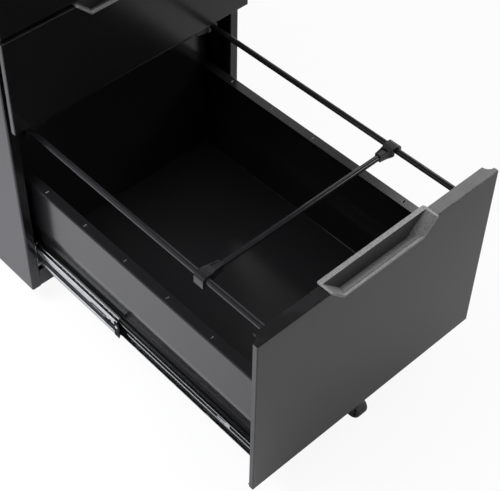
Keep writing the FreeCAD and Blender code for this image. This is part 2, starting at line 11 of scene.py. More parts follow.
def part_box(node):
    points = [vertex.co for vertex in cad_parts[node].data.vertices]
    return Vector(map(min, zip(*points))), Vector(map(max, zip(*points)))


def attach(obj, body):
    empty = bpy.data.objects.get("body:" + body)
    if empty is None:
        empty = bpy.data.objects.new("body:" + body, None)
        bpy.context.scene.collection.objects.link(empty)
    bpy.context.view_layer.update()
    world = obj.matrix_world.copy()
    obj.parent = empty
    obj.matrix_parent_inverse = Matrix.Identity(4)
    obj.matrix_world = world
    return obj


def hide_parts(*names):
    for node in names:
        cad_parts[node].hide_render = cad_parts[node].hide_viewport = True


bl_info = {
    "name": "Mobile filing cabinet",
    "version": (1, 0, 0),
    "blender": (4, 5, 0),
    "location": "View3D > Sidebar > Cabinet",
    "description": "Dresses the packed filing cabinet with its finishes, moulded pieces, slides and casters",
    "category": "Object",
}

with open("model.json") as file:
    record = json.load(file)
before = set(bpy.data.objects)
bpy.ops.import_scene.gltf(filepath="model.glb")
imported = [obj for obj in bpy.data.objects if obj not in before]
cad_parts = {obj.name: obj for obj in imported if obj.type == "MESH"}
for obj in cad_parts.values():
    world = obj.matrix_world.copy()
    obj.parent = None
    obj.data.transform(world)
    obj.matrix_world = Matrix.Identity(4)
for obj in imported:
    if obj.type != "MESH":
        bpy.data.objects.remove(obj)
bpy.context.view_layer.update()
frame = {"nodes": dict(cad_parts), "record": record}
NODES = frame["nodes"]
DRAWERS = ("file", "middle", "top")
CROSS_BARS = ("front", "rear")
CORNERS = [(where, side) for where in ("front", "rear") for side in ("left", "right")]
MM = 0.001

# Turn above which an edge is eased, and turn below which two faces are shaded as one
SHARP_TURN = math.radians(30)
SMOOTH_TURN = math.radians(35)
# Side view of a rivet's head, as shares of its radius and height
DOME = ((1.0, 0.0), (1.0, 0.35), (0.9, 0.7), (0.66, 0.92), (0.33, 1.0))

# Pull: rounding of the rim's rear corners, and how far behind its front stands the smooth wall, which is
# darkened as painted shade
RIM_CORNER = 3 * MM
WALL_DEPTH = 12 * MM

# Clip on a hanging rail, from the rail's middle: bore, hood, skirt outside, jaw inside, roof and half length
CLIP_BORE = 4.3 * MM
CLIP_SKIN = 7.5 * MM
CLIP_SKIRT = 9.0 * MM
CLIP_JAW = 6.0 * MM
CLIP_ROOF = 7.1 * MM
CLIP_HALF = 7.8 * MM
# Stations along the clip's arm in millimetres: from the rail, half width, top and foot
CLIP_ARM = ((6.2, 7.75, 7.2, 6.0), (8.0, 7.5, 7.08, 6.0), (10.0, 6.9, 6.85, 6.0), (12.5, 6.2, 6.6, 5.8),
            (16.0, 5.5, 6.2, 5.4), (20.0, 5.0, 5.8, 5.0), (27.0, 4.5, 5.1, 4.6))
# Pocket in the arm: corners of its floor in millimetres from the rail, along, across and above, and its cut
CLIP_POCKET = ((13.5, -4.6, 4.4), (25.5, -3.3, 4.4), (25.5, 3.3, 4.4), (13.5, 4.6, 4.4))
POCKET_CUT = 6 * MM

# Slides: inner radius of each member's bends
SLIDE_BENDS = {"outer": 1.4 * MM, "mid": 0.2 * MM, "inner": 1.2 * MM}
# Slots in each member's web in millimetres: from its front end, above its middle, length and height;
# and how far their cut goes out of the web
SLIDE_SLOTS = {"outer": ((20, 0, 12, 5), (110, 0, 16, 6), (250, 0, 16, 6), (400, 0, 12, 5)),
               "mid": ((39, 4.2, 33, 4.0), (14.5, 4.0, 5, 3.8), (205, 4, 26, 3.6), (365, 4, 12, 3.6)),
               "inner": ((48, 0, 14, 5), (150, 0, 10, 5), (260, 0, 14, 5), (420, 0, 10, 5))}
SLOT_CUT = 4 * MM
# Outlines in millimetres, from a member's front end and above its middle: the stop on the middle member, its
# tail, which closes the front slot from behind, the bright rim below that slot, and the drawer member's lug
STOP_PLATE = ((-3, -16.5), (-3, 11), (-1, 12.5), (4, 12.5), (5.5, 11), (5.5, 0.6), (9, -0.2), (25, -0.2),
              (28, -2.5), (28, -6.5), (25, -8.4), (8, -8.4), (5.5, -10), (5.5, -16.5))
STOP_TAIL = ((6, -2), (60, -2), (60, 7), (6, 7))
SLOT_RIM = ((23, 0.4), (55, 0.4), (55, 1.5), (23, 1.5))
SLIDE_LUG = ((45, 2), (45, 8), (47, 10), (50, 10), (52, 7), (68, 6), (68, 4), (50, 2))
# Screws along the drawer member, in millimetres from its front end
SLIDE_SCREWS = (90, 230, 380)
# Ball cage: its length, half its section, and how far its two rows stand from the middle member's ends
CAGE_LENGTH = 140 * MM
CAGE_WIDTH = 1.4 * MM
CAGE_THICK = 0.4 * MM
OUTER_ROW_BACK = 160 * MM
INNER_ROW_FRONT = 5 * MM

# Radius and height of the heads of rivets, screws and bolts
STOP_RIVET = (2.6 * MM, 0.4 * MM)
SCREW_HEAD = (3.4 * MM, 1.6 * MM)
FORK_RIVET = (4.2 * MM, 1.3 * MM)
BOLT_HEAD = (3.6 * MM, 2.6 * MM)

# Caster plate: half its side, and its bolts' distance from its middle both ways
PLATE_HALF = 21 * MM
BOLT_REACH = 15.5 * MM
# Wheel: its bore, and its section from hub to tread as millimetres inside its face and share of its radius
WHEEL_BORE = 3.05 * MM
WHEEL_SIDE = ((0, 0.34), (0.6, 0.38), (2.2, 0.42), (2.4, 0.68), (0.7, 0.74), (0, 0.78), (0, 0.88),
              (0.5, 0.94), (1.5, 0.98), (3.2, 1.0))


# Shader building

class Wire:
    """A shader socket in an expression: arithmetic on it adds Math nodes beside it."""

    def __init__(self, sheet, socket):
        self.sheet = sheet
        self.socket = socket

    def calculate(self, operation, first, second):
        return self.sheet.node("ShaderNodeMath", {"operation": operation}, {0: first, 1: second})

    def __add__(self, other):
        return self.calculate("ADD", self, other)

    def __radd__(self, other):
        return self.calculate("ADD", other, self)

    def __sub__(self, other):
        return self.calculate("SUBTRACT", self, other)

    def __rsub__(self, other):
        return self.calculate("SUBTRACT", other, self)

    def __mul__(self, other):
        return self.calculate("MULTIPLY", self, other)

    def __rmul__(self, other):
        return self.calculate("MULTIPLY", other, self)

    def above(self, other):
        return self.calculate("MAXIMUM", self, other)


class NodeSheet:
    """A node tree under construction, for a material or the world."""

    def __init__(self, owner):
        owner.use_nodes = True
        self.owner = owner
        self.tree = owner.node_tree
        self.tree.nodes.clear()

    def node(self, kind, settings=None, inputs=None, output=0):
        """Add a node, set it up, fill or link its inputs, and return one of its outputs."""
        made = self.tree.nodes.new(kind)
        for name, value in (settings or {}).items():
            setattr(made, name, value)
        for name, value in (inputs or {}).items():
            if isinstance(value, Wire):
                self.tree.links.new(value.socket, made.inputs[name])
            else:
                made.inputs[name].default_value = value
        return Wire(self, made.outputs[output]) if len(made.outputs) else None

    def blend(self, factor, first, second):
        """Colour between two colours."""
        settings = {"data_type": "RGBA", "clamp_factor": True}
        return self.node("ShaderNodeMix", settings, {0: factor, 6: first, 7: second}, 2)

    def place(self, stretch=(1, 1, 1)):
        """The piece's own coordinates in metres, scaled along each axis."""
        where = self.node("ShaderNodeTexCoord", output="Object")
        return self.node("ShaderNodeVectorMath", {"operation": "MULTIPLY"}, {0: where, 1: stretch})

    def noise(self, size, detail=2.0, stretch=(1, 1, 1), roughness=0.5):
        """Cloudy pattern whose patches are about the given size in metres."""
        inputs = {"Vector": self.place(stretch), "Scale": 1 / size, "Detail": detail, "Roughness": roughness}
        return self.node("ShaderNodeTexNoise", None, inputs)

    def grains(self, size, stretch=(1, 1, 1)):
        """Distance to the middle of the nearest grain, from a field of grains of the given size."""
        inputs = {"Vector": self.place(stretch), "Scale": 1 / size}
        return self.node("ShaderNodeTexVoronoi", None, inputs, "Distance")

    def band(self, value, low, high):
        """Soft step from 0 at low to 1 at high."""
        settings = {"interpolation_type": "SMOOTHSTEP"}
        return self.node("ShaderNodeMapRange", settings, {0: value, 1: low, 2: high})

    def worn_edges(self):
        """1 on the eased edges of a piece, 0 on its faces."""
        return self.node("ShaderNodeAttribute", {"attribute_name": "edge"}, output="Fac")

    def bump(self, height, strength, depth):
        """Normal of a surface whose relief is depth metres deep."""
        return self.node("ShaderNodeBump", None, {"Height": height, "Strength": strength, "Distance": depth})

    def surface(self, inputs):
        """Close the material with a Principled shader."""
        shader = self.node("ShaderNodeBsdfPrincipled", None, inputs)
        self.node("ShaderNodeOutputMaterial", None, {"Surface": shader})
        return self.owner


def shade(colour, factor):
    """The colour made lighter or darker, with full opacity."""
    return tuple(min(1.0, c * factor) for c in colour[:3]) + (1.0,)


def finish(slot):
    """The material of a slot, built the first time that it is asked for."""
    name = f"{slot}_finish"
    made = bpy.data.materials.get(name)
    if made is None:
        made = FINISHES[slot](NodeSheet(bpy.data.materials.new(name)), bpy.context.scene.cabinet_finishes)
    return made


# Finishes

def powder_coat(sheet, look):
    """Satin powder coat: slow unevenness, fine orange peel and edges rubbed a little lighter."""
    cloud = sheet.noise(0.11, 3.0)
    peel = sheet.noise(0.0011, 1.5)
    dust = sheet.band(sheet.noise(0.0032, 3.0, roughness=0.6), 0.64, 0.80)
    rub = sheet.worn_edges() * sheet.band(sheet.noise(0.018, 3.0), 0.35, 0.65)
    body = sheet.blend(cloud, shade(look.paint, 0.86), shade(look.paint, 1.14))
    specked = sheet.blend(dust * 0.12, body, shade(look.paint, 1.9))
    # Painted glint: the walls of the tray's punched slits are bare metal, given a bright zinc colour that
    # stands in for their glint.
    bare_glint = sheet.node("ShaderNodeAttribute", {"attribute_name": "bare_glint"}, output="Fac")
    painted = sheet.blend(rub * 0.5, specked, shade(look.paint, 2.6))
    colour = sheet.blend(bare_glint * (0.75 + cloud * 0.25), painted, shade(look.zinc, 1.3))
    roughness = look.paint_roughness + (cloud - 0.5) * 0.05 + (peel - 0.5) * 0.03 - rub * 0.04
    return sheet.surface({"Base Color": colour, "Roughness": roughness, "IOR": look.paint_gloss,
                          "Normal": sheet.bump(peel, 0.05, 0.00005)})


def moulded_grey(sheet, look):
    """Grey plastic with the spark-eroded texture of its mould, polished on its rounded edges; its smooth back
    wall is darkened as painted shade.
    """
    pits = sheet.grains(0.0021)
    fine = sheet.noise(0.0009, 2.0)
    cloud = sheet.noise(0.03, 2.0)
    grain = pits * 0.7 + fine * 0.5
    smooth_shaded_wall = sheet.node("ShaderNodeAttribute", {"attribute_name": "smooth_shaded_wall"}, output="Fac")
    polish = sheet.worn_edges().above(smooth_shaded_wall * 0.6)
    speckle = sheet.blend(sheet.band(grain, 0.3, 0.8), shade(look.pull, 0.65), shade(look.pull, 1.4))
    rough = sheet.blend(cloud * 0.3, speckle, shade(look.pull, 1.15))
    # Painted shade: the smooth back wall of the trough is darkened to 0.18 of the grey; its lower roughness
    # is real.
    colour = sheet.blend(smooth_shaded_wall * (0.9 + cloud * 0.1), rough, shade(look.pull, 0.18))
    roughness = look.pull_roughness + (grain - 0.5) * 0.15 - polish * 0.16
    return sheet.surface({"Base Color": colour, "Roughness": roughness, "IOR": 1.5,
                          "Normal": sheet.bump(grain * (1 - polish * 0.85), 0.6, 0.0004)})


def gloss_black(sheet, look):
    """Gloss black paint on drawn rod, with a faint peel and thin scuffs."""
    peel = sheet.noise(0.0012, 2.0)
    cloud = sheet.noise(0.02, 2.0)
    scuff = sheet.band(sheet.noise(0.004, 4.0, roughness=0.65), 0.58, 0.72)
    body = sheet.blend(cloud, shade(look.black, 0.8), shade(look.black, 1.4))
    colour = sheet.blend(scuff * 0.3, body, shade(look.black, 3.0))
    roughness = 0.10 + (cloud - 0.5) * 0.04 + scuff * 0.12
    return sheet.surface({"Base Color": colour, "Roughness": roughness, "IOR": 1.33,
                          "Normal": sheet.bump(peel, 0.06, 0.00005)})


def moulded_black(sheet, look):
    """Black moulded plastic with a fine matt grain and smoother edges."""
    grain = sheet.noise(0.0007, 2.5)
    cloud = sheet.noise(0.008, 2.0)
    polish = sheet.worn_edges()
    colour = sheet.blend(cloud, shade(look.black, 0.9), shade(look.black, 1.6))
    roughness = 0.22 + (grain - 0.5) * 0.10 - polish * 0.08
    return sheet.surface({"Base Color": colour, "Roughness": roughness, "IOR": 1.33,
                          "Normal": sheet.bump(grain * (1 - polish * 0.8), 0.15, 0.0001)})


def bright_zinc(sheet, look):
    """Bright zinc on rolled strip: lines along the roll, faint bloom, and darker, rougher ball races."""
    lines = sheet.noise(0.0009, 2.0, (1, 0.012, 1))
    bloom = sheet.noise(0.014, 3.0)
    marks = sheet.band(sheet.noise(0.006, 4.0, (1, 0.3, 1), 0.65), 0.56, 0.72)
    race = sheet.node("ShaderNodeAttribute", {"attribute_name": "race"}, output="Fac")
    smear = sheet.band(sheet.noise(0.01, 3.0, (1, 0.15, 1)), 0.25, 0.6)
    body = sheet.blend(bloom, shade(look.zinc, 0.84), shade(look.zinc, 1.08))
    marked = sheet.blend(marks * 0.35, body, shade(look.zinc, 0.55))
    # The races, and the stops, are darkened towards this colour and made rougher.
    colour = sheet.blend(race * (0.9 + smear * 0.08), marked, shade(look.darkening, 1.0))
    roughness = 0.23 + (lines - 0.5) * 0.16 + (bloom - 0.5) * 0.08 + marks * 0.10 + race * 0.35
    return sheet.surface({"Base Color": colour, "Roughness": roughness, "Metallic": 1.0,
                          "Specular Tint": (0.5, 0.5, 0.5, 1), "Normal": sheet.bump(lines, 0.16, 0.00005)})


def plain_steel(sheet, look):
    """Bare steel of cages, balls and axles, faintly oiled."""
    oil = sheet.noise(0.004, 3.0)
    scratch = sheet.noise(0.0006, 2.0, (1, 0.1, 1))
    colour = sheet.blend(oil, shade(look.steel, 0.7), shade(look.steel, 1.15))
    roughness = 0.28 + (oil - 0.5) * 0.12 + (scratch - 0.5) * 0.08
    return sheet.surface({"Base Color": colour, "Roughness": roughness, "Metallic": 1.0,
                          "Normal": sheet.bump(scratch, 0.12, 0.00004)})


def pressed_zinc(sheet, look):
    """Zinc-plated pressings of the casters, mottled by the plating bath."""
    bath = sheet.noise(0.009, 4.0, roughness=0.6)
    grain = sheet.noise(0.0008, 2.0)
    rub = sheet.worn_edges()
    body = sheet.blend(bath, shade(look.steel, 0.75), shade(look.zinc, 1.0))
    colour = sheet.blend(rub * 0.5, body, shade(look.zinc, 1.2))
    roughness = 0.34 + (bath - 0.5) * 0.18 + (grain - 0.5) * 0.08 - rub * 0.08
    return sheet.surface({"Base Color": colour, "Roughness": roughness, "Metallic": 1.0,
                          "Normal": sheet.bump(grain, 0.15, 0.00005)})


def hard_nylon(sheet, look):
    """Black nylon of the wheels, scuffed and a little dusty."""
    scuff = sheet.band(sheet.noise(0.003, 4.0, roughness=0.65), 0.52, 0.70)
    grain = sheet.noise(0.0009, 2.0)
    colour = sheet.blend(scuff * 0.5, shade(look.black, 1.1), shade(look.black, 4.0))
    roughness = 0.38 + scuff * 0.2 + (grain - 0.5) * 0.08
    return sheet.surface({"Base Color": colour, "Roughness": roughness, "IOR": 1.5,
                          "Normal": sheet.bump(grain + scuff * 0.5, 0.2, 0.00008)})


FINISHES = {
    "cabinet_paint": powder_coat,
    "pull_grey": moulded_grey,
    "rail_black": gloss_black,
    "clip_black": moulded_black,
    "slide_zinc": bright_zinc,
    "cage_steel": plain_steel,
    "caster_steel": pressed_zinc,
    "wheel_black": hard_nylon,
}


# Properties that a user would change

def colour_property(name, description, default):
    return FloatVectorProperty(name=name, description=description, default=default, size=3,
                               min=0.0, max=1.0, subtype="COLOR")


class CabinetFinishes(PropertyGroup):
    """Colours and gloss of the cabinet's finishes."""
    paint: colour_property("Paint", "Powder coat of the sheet steel", (0.007, 0.007, 0.0074))
    paint_roughness: FloatProperty(name="Paint roughness", description="Blur of the paint's reflections",
                                   default=0.18, min=0.0, max=1.0, subtype="FACTOR")
    paint_gloss: FloatProperty(name="Paint gloss", description="Refractive index of the paint's skin",
                               default=1.40, min=1.0, max=2.5)
    pull: colour_property("Pull", "Moulded grey of the drawer pulls", (0.135, 0.135, 0.136))
    pull_roughness: FloatProperty(name="Pull roughness", description="Blur of the pulls' reflections",
                                  default=0.46, min=0.0, max=1.0, subtype="FACTOR")
    black: colour_property("Black", "Rails, clips and wheels", (0.010, 0.010, 0.011))
    zinc: colour_property("Zinc", "Plating of the slides", (0.60, 0.61, 0.62))
    # Darker colour given to the slides' ball races and stops
    darkening: colour_property("Darkening", "Grease in the slides' ball races", (0.012, 0.0135, 0.013))
    steel: colour_property("Steel", "Balls, cages and caster pressings", (0.52, 0.52, 0.53))


def length_property(name, description, default):
    return FloatProperty(name=name, description=description, default=default, min=0.0, unit="LENGTH")


class CabinetDetails(PropertyGroup):
    """Sizes of the details that the dressed pieces add."""
    sheet_ease: length_property("Sheet ease", "Rounding of the sheets' cut edges", 0.3 * MM)
    pull_ease: length_property("Pull ease", "Rounding of the moulded pulls", 0.4 * MM)
    clip_ease: length_property("Clip ease", "Rounding of the moulded clips", 0.6 * MM)
    stop_ease: length_property("Stop ease", "Rounding of the slides' stops", 0.3 * MM)
    lug_ease: length_property("Lug ease", "Rounding of the slides' lugs", 0.25 * MM)
    caster_ease: length_property("Caster ease", "Rounding of the casters' pressings", 0.4 * MM)
    slide_sheet: length_property("Slide sheet", "Thickness of the rolled members", 1.2 * MM)
    outer_reach: length_property("Case member reach", "Depth of the case member", 10.0 * MM)
    outer_lip: length_property("Case member lip", "Lip of the case member over the balls", 4.15 * MM)
    mid_reach: length_property("Middle member reach", "Depth of the middle member", 8.2 * MM)
    mid_lip: length_property("Middle member lip", "Lip of the middle member", 1.9 * MM)
    inner_reach: length_property("Drawer member reach", "Depth of the drawer member", 7.8 * MM)
    ball: length_property("Ball", "Diameter of the slides' balls", 3.2 * MM)
    ball_pitch: length_property("Ball pitch", "Distance between balls", 10.0 * MM)


class CabinetView(PropertyGroup):
    """Camera of the main picture."""
    eye: FloatVectorProperty(name="Eye", description="Where the camera stands", size=3, subtype="TRANSLATION",
                             unit="LENGTH", default=(-0.7566, -1.2615, 1.3712))
    heading: FloatProperty(name="Heading", description="View direction from +Y towards +X", subtype="ANGLE",
                           default=math.radians(38.728))
    dip: FloatProperty(name="Dip", description="View direction below the horizon", subtype="ANGLE",
                       default=math.radians(45.069))
    roll: FloatProperty(name="Roll", description="Tilt of the camera to its left", subtype="ANGLE",
                        default=math.radians(-2.569))
    lens: FloatProperty(name="Lens", description="Focal length in millimetres", default=89.687, min=1.0)
    shift_right: FloatProperty(name="Shift right", description="Picture's middle right of the lens axis",
                               default=0.16598)
    shift_up: FloatProperty(name="Shift up", description="Picture's middle above the lens axis",
                            default=-0.11810)


# Mesh helpers

def copied(node):
    """The node's solid as a clean mesh with whole faces, to be finished further."""
    mesh = bmesh.new()
    mesh.from_mesh(NODES[node].data)
    bmesh.ops.remove_doubles(mesh, verts=mesh.verts, dist=1e-6)
    bmesh.ops.dissolve_limit(mesh, angle_limit=math.radians(1.0), verts=mesh.verts, edges=mesh.edges)
    return mesh


def eased(mesh, width, steps=2):
    """Round the sharp edges of a mesh and mark them, and its folds, as places that wear."""
    layer = mesh.faces.layers.float.new("edge")
    sharp = [edge for edge in mesh.edges if edge.is_manifold and edge.calc_face_angle() > SHARP_TURN]
    made = bmesh.ops.bevel(mesh, geom=sharp, offset=width, offset_type="OFFSET", segments=steps, profile=0.5,
                           affect="EDGES", clamp_overlap=True)
    for face in made["faces"]:
        face[layer] = 1.0
    narrow = 2 * MM
    for face in mesh.faces:
        if min(edge.calc_length() for edge in face.edges) < narrow and on_a_bend(face):
            face[layer] = 1.0
    return mesh


def on_a_bend(face):
    """Whether a face is one of the narrow steps of a rounded fold."""
    turns = [edge.calc_face_angle() for edge in face.edges if edge.is_manifold]
    return any(math.radians(3) < turn < SHARP_TURN for turn in turns)


def piece(name, mesh, body, slot, nodes=()):
    """Object from a finished mesh, which rides on a body, has a slot's finish and stands for nodes."""
    bmesh.ops.recalc_face_normals(mesh, faces=mesh.faces)
    data = bpy.data.meshes.new(name)
    mesh.to_mesh(data)
    mesh.free()
    if "custom_normal" in data.attributes:
        data.attributes.remove(data.attributes["custom_normal"])
    data.polygons.foreach_set("use_smooth", [True] * len(data.polygons))
    data.set_sharp_from_angle(angle=SMOOTH_TURN)
    data.materials.clear()
    data.materials.append(finish(slot))
    made = bpy.data.objects.new(name, data)
    bpy.context.scene.collection.objects.link(made)
    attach(made, body)
    if nodes:
        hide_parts(*nodes)
    return made


def keep_flat(made):
    """Let the large faces of a piece set the normals along its eased edges."""
    made.modifiers.new("flat faces", "WEIGHTED_NORMAL").keep_sharp = True


def middle_of(node):
    """Middle of a node's box."""
    low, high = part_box(node)
    return (low + high) / 2


def circle(steps):
    """Cosine and sine at even steps round a circle."""
    angles = [2 * math.pi * k / steps for k in range(steps)]
    return [(math.cos(angle), math.sin(angle)) for angle in angles]


def join_rings(mesh, ring, following):
    """Faces between two closed rings of corners."""
    count = len(ring)
    for k in range(count):
        j = (k + 1) % count
        mesh.faces.new((ring[k], ring[j], following[j], following[k]))


def loft(mesh, rows):
    """Solid through closed rows of points, with flat ends."""
    rings = [[mesh.verts.new(point) for point in row] for row in rows]
    for ring, following in zip(rings, rings[1:]):
        join_rings(mesh, ring, following)
    mesh.faces.new(rings[0][::-1])
    mesh.faces.new(rings[-1])


def prism(mesh, corners, lift):
    """Solid between a closed row of corners and the same row moved by a vector."""
    loft(mesh, (corners, [Vector(corner) + Vector(lift) for corner in corners]))


def turned(mesh, profile, centre, steps=48):
    """Ring turned round the X axis through a point, from a closed (along, radius) profile."""
    rings = []
    for along, radius in profile:
        offsets = [Vector((along, radius * c, radius * s)) for c, s in circle(steps)]
        rings.append([mesh.verts.new(Vector(centre) + offset) for offset in offsets])
    for ring, following in zip(rings, rings[1:] + rings[:1]):
        join_rings(mesh, ring, following)


def domed(mesh, centre, outward, radius, height, steps=20):
    """Low round head of a rivet or screw on a face whose normal is outward."""
    turn = Vector((0, 0, 1)).rotation_difference(Vector(outward)).to_matrix()
    rows = []
    for share, lift in DOME:
        reach = radius * share
        offsets = [Vector((reach * c, reach * s, height * lift)) for c, s in circle(steps)]
        rows.append([Vector(centre) + turn @ offset for offset in offsets])
    loft(mesh, rows)


def rod(mesh, start, end, radius, steps=32):
    """Round bar between two points with its ends broken."""
    start, end = Vector(start), Vector(end)
    way = (end - start).normalized()
    turn = Vector((0, 0, 1)).rotation_difference(way).to_matrix()
    chamfer = radius * 0.15
    stations = ((start, radius - chamfer), (start + way * chamfer, radius),
                (end - way * chamfer, radius), (end, radius - chamfer))
    rows = []
    for foot, reach in stations:
        rows.append([foot + turn @ Vector((reach * c, reach * s, 0)) for c, s in circle(steps)])
    loft(mesh, rows)


def carved(made, cutter_mesh):
    """Take the solids of a mesh out of a piece."""
    data = bpy.data.meshes.new("cutter")
    bmesh.ops.recalc_face_normals(cutter_mesh, faces=cutter_mesh.faces)
    cutter_mesh.to_mesh(data)
    cutter_mesh.free()
    cutter = bpy.data.objects.new("cutter", data)
    bpy.context.scene.collection.objects.link(cutter)
    step = made.modifiers.new("carve", "BOOLEAN")
    step.operation = "DIFFERENCE"
    step.solver = "EXACT"
    step.object = cutter
    bpy.context.view_layer.update()
    result = bpy.data.meshes.new_from_object(made.evaluated_get(bpy.context.evaluated_depsgraph_get()))
    made.modifiers.clear()
    made.data = result
    result.set_sharp_from_angle(angle=SMOOTH_TURN)
    bpy.data.objects.remove(cutter)
    bpy.data.meshes.remove(data)


# Operators

class DressSheets(Operator):
    """Give every node its finish, and ease the edges of the folded sheets"""
    bl_idname = "cabinet.dress_sheets"
    bl_label = "Dress the sheets"

    def execute(self, context):
        ease = context.scene.cabinet_details.sheet_ease
        members = frame["record"]["behaviour"]["bodies"]
        bodies = {node: body for body, nodes in members.items() for node in nodes}
        for subpart in frame["record"]["subparts"]:
            node = subpart["node"]
            slot = subpart["material_slot"]
            NODES[node].data.materials[0] = finish(slot)
            if slot == "cabinet_paint":
                mesh = eased(copied(node), ease)
                if node == "file_tray":
                    mark_bare_glinting_slits(mesh, *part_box(node))
                made = piece(f"{node}_sheet", mesh, bodies[node], slot, [node])
                keep_flat(made)
        return {"FINISHED"}


def mark_bare_glinting_slits(mesh, low, high):
    """Mark the walls of the slits in the tray's flanges, which are punched through the paint, and are painted
    bright as a glint.
    """
    layer = mesh.faces.layers.float.new("bare_glint")
    margin = 5 * MM
    flange = 1.2 * MM
    for face in mesh.faces:
        middle = face.calc_center_median()
        within = low.y + margin < middle.y < high.y - margin and middle.z > high.z - flange
        face[layer] = 1.0 if within and abs(face.normal.y) > 0.3 else 0.0


class MakePulls(Operator):
    """Moulded pull of each drawer, with rounded edges and a smooth wall behind the fingers, darkened as
    painted shade
    """
    bl_idname = "cabinet.make_pulls"
    bl_label = "Make the pulls"

    def execute(self, context):
        ease = context.scene.cabinet_details.pull_ease
        for name in DRAWERS:
            node = f"{name}_pull"
            low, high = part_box(node)
            mesh = copied(node)
            round_rim(mesh, high)
            eased(mesh, ease, 3)
            mark_smooth_shaded_wall(mesh, low)
            made = piece(f"{name}_moulded_pull", mesh, f"{name}_drawer", "pull_grey", [node])
            keep_flat(made)
        return {"FINISHED"}


def round_rim(mesh, high):
    """Round the two rear corners of a pull's rim as seen from above."""
    corners = []
    for edge in mesh.edges:
        a, b = (vert.co for vert in edge.verts)
        upright = abs(a.x - b.x) + abs(a.y - b.y) < 1e-6
        if upright and high.y - a.y < 1e-5 and abs(a.x) > high.x - 1e-5:
            corners.append(edge)
    bmesh.ops.bevel(mesh, geom=corners, offset=RIM_CORNER, offset_type="OFFSET", segments=6, profile=0.5,
                    affect="EDGES", clamp_overlap=True)


def mark_smooth_shaded_wall(mesh, low):
    """Mark the wall at the back of a pull's trough, which the mould leaves smooth and whose colour is
    darkened as painted shade.
    """
    layer = mesh.faces.layers.float.new("smooth_shaded_wall")
    for face in mesh.faces:
        deep = face.calc_center_median().y > low.y + WALL_DEPTH
        face[layer] = 1.0 if deep and face.normal.y < -0.9 else 0.0


class MakeHangingFrame(Operator):
    """Hanging rails, cross bars and the moulded clips that hold the bars"""
    bl_idname = "cabinet.make_hanging_frame"
    bl_label = "Make the hanging frame"

    def execute(self, context):
        ease = context.scene.cabinet_details.clip_ease
        for side in ("left", "right"):
            low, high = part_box(f"rail_{side}")
            middle = (low + high) / 2
            mesh = bmesh.new()
            rod(mesh, (middle.x, low.y, middle.z), (middle.x, high.y, middle.z), (high.x - low.x) / 2)
            piece(f"hanging_rail_{side}", mesh, "file_drawer", "rail_black", [f"rail_{side}"])
        for where in CROSS_BARS:
            low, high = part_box(f"cross_bar_{where}")
            middle = (low + high) / 2
            mesh = bmesh.new()
            rod(mesh, (low.x, middle.y, middle.z), (high.x, middle.y, middle.z), (high.z - low.z) / 2)
            piece(f"hanging_bar_{where}", mesh, f"{where}_cross_bar", "rail_black", [f"cross_bar_{where}"])
            for side, sign in (("left", 1), ("right", -1)):
                make_clip(where, side, sign, ease)
        return {"FINISHED"}


def make_clip(where, side, sign, ease):
    """Clip that holds one end of a cross bar on its rail; sign points along the bar to its middle."""
    bar = middle_of(f"cross_bar_{where}")
    rail = Vector((-sign * abs(middle_of("rail_left").x), bar.y, bar.z))
    mesh = bmesh.new()
    add_clip(mesh, rail, sign)
    made = piece(f"bar_clip_{where}_{side}", eased(mesh, ease, 3), f"{where}_cross_bar", "clip_black",
                 [f"clip_{where}_{side}"])
    pocket = bmesh.new()
    floor = [rail + Vector((sign * reach, across, height)) * MM for reach, across, height in CLIP_POCKET]
    prism(pocket, floor, (0, 0, POCKET_CUT))
    carved(made, pocket)
    keep_flat(made)


def add_clip(mesh, rail, sign):
    """Shape of a clip: a hood open below and a flat-topped arm that narrows to the cross bar's end."""
    arc = [math.pi * (1 - k / 16) for k in range(17)]
    crown = [(CLIP_SKIN * math.cos(a), CLIP_SKIN * math.sin(a)) for a in arc[:9]]
    outside = [(-CLIP_SKIN, -CLIP_SKIRT)] + crown + [(CLIP_SKIN, CLIP_ROOF), (CLIP_SKIN, -CLIP_JAW)]
    inside = [(CLIP_BORE * math.cos(a), CLIP_BORE * math.sin(a)) for a in reversed(arc)]
    section = outside + [(CLIP_BORE, -CLIP_JAW)] + inside + [(-CLIP_BORE, -CLIP_SKIRT)]
    prism(mesh, [rail + Vector((sign * u, -CLIP_HALF, v)) for u, v in section], (0, 2 * CLIP_HALF, 0))
    rows = []
    for reach, width, top, foot in CLIP_ARM:
        corners = ((width, -foot), (width, top), (-width, top), (-width, -foot))
        rows.append([rail + Vector((sign * reach, across, height)) * MM for across, height in corners])
    loft(mesh, rows)


class MakeSlides(Operator):
    """Rolled members, ball cages, end stops and screws of the telescopic slides"""
    bl_idname = "cabinet.make_slides"
    bl_label = "Make the slides"

    def execute(self, context):
        size = context.scene.cabinet_details
        for name in DRAWERS:
            make_members(name, size)
            make_cages(name, size)
            make_stops(name, size)
        return {"FINISHED"}


def strip_section(path, sheet, bend, steps=5):
    """Section of a rolled strip along a path of (s, z, darkened) corners.

    Each row has a point on either skin and how darkened the strip is from there on.
    """
    points = [Vector(corner[:2]) for corner in path]
    darkened = [corner[2] for corner in path]
    runs = [(b - a).normalized() for a, b in zip(points, points[1:])]
    lefts = [Vector((-run.y, run.x)) for run in runs]
    rows = [(points[0], points[0] + lefts[0] * sheet, darkened[0])]
    for i, here in enumerate(points[1:-1]):
        before, after = lefts[i], lefts[i + 1]
        sweep = before.angle_signed(after)
        if abs(sweep) < 1e-4:
            rows.append((here, here + after * sheet, darkened[i + 1]))
            continue
        side = 1 if sweep > 0 else -1
        near, far = (bend, bend + sheet) if side > 0 else (bend + sheet, bend)
        centre = here - side * (before + after) * (near / (1 + before.dot(after)))
        shared = min(darkened[i], darkened[i + 1])
        for k in range(steps + 1):
            outward = Matrix.Rotation(-sweep * k / steps, 2) @ (before * side)
            darkening = darkened[i + 1] if k == steps else shared
            rows.append((centre + outward * near, centre + outward * far, darkening))
    rows.append((points[-1], points[-1] + lefts[-1] * sheet, False))
    return rows


